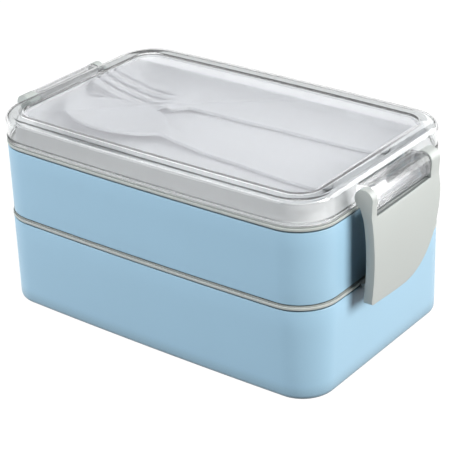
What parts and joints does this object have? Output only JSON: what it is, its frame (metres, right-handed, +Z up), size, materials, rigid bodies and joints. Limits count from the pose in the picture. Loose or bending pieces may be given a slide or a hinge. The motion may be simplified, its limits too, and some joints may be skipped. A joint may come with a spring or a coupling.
{
  "type": "bento lunch box",
  "caption": "Two-tier bento lunch box: drafted tiers with inner bowls, clear lid over a cutlery tray with fork and spoon, and hinged latches at both ends.",
  "frame": {"origin": "centre of the base on the table plane", "axes": "+Z up, +X along the long side towards the right latch, -Y towards the front long side"},
  "size_m": [0.2088, 0.12, 0.098],
  "materials": {
    "blue_shell": "satin",
    "pale_grey": "satin",
    "band_grey": "satin",
    "seal": "matte",
    "clear": "polished"
  },
  "bodies": {
    "lower_box": {"lower_shell": "blue_shell", "lower_liner": "band_grey"},
    "middle_cover": {"middle_cover": "pale_grey", "middle_cover_gasket": "seal"},
    "upper_box": {"upper_shell": "blue_shell", "upper_liner": "band_grey"},
    "divider": {"divider": "pale_grey"},
    "cutlery_tray": {"cutlery_tray": "pale_grey", "tray_gasket": "seal"},
    "fork": {"fork": "pale_grey"},
    "spoon": {"spoon": "pale_grey"},
    "lid": {"lid": "clear"},
    "latch_right": {"latch_right": "pale_grey"},
    "latch_left": {"latch_left": "pale_grey"}
  },
  "joints": [
    {"name": "middle_cover_lift", "type": "slide", "parent": "lower_box", "child": "middle_cover", "axis": [0, 0, 1], "range_m": [0, 0.06]},
    {"name": "upper_box_lift", "type": "slide", "parent": "middle_cover", "child": "upper_box", "axis": [0, 0, 1], "range_m": [0, 0.072]},
    {"name": "divider_lift", "type": "slide", "parent": "upper_box", "child": "divider", "axis": [0, 0, 1], "range_m": [0, 0.06]},
    {"name": "tray_lift", "type": "slide", "parent": "divider", "child": "cutlery_tray", "axis": [0, 0, 1], "range_m": [0, 0.06]},
    {"name": "fork_lift", "type": "slide", "parent": "cutlery_tray", "child": "fork", "axis": [0, 0, 1], "range_m": [0, 0.06]},
    {"name": "spoon_lift", "type": "slide", "parent": "fork", "child": "spoon", "axis": [0, 0, 1], "range_m": [0, 0.06]},
    {"name": "lid_lift", "type": "slide", "parent": "spoon", "child": "lid", "axis": [0, 0, 1], "range_m": [0, 0.06]},
    {"name": "latch_right_hinge", "type": "hinge", "parent": "lid", "child": "latch_right", "pos_m": [0.0985, 0, 0.0912], "axis": [0, -1, 0], "range_deg": [0, 150]},
    {"name": "latch_left_hinge", "type": "hinge", "parent": "lid", "child": "latch_left", "pos_m": [-0.0985, 0, 0.0912], "axis": [0, 1, 0], "range_deg": [0, 150]}
  ]
}
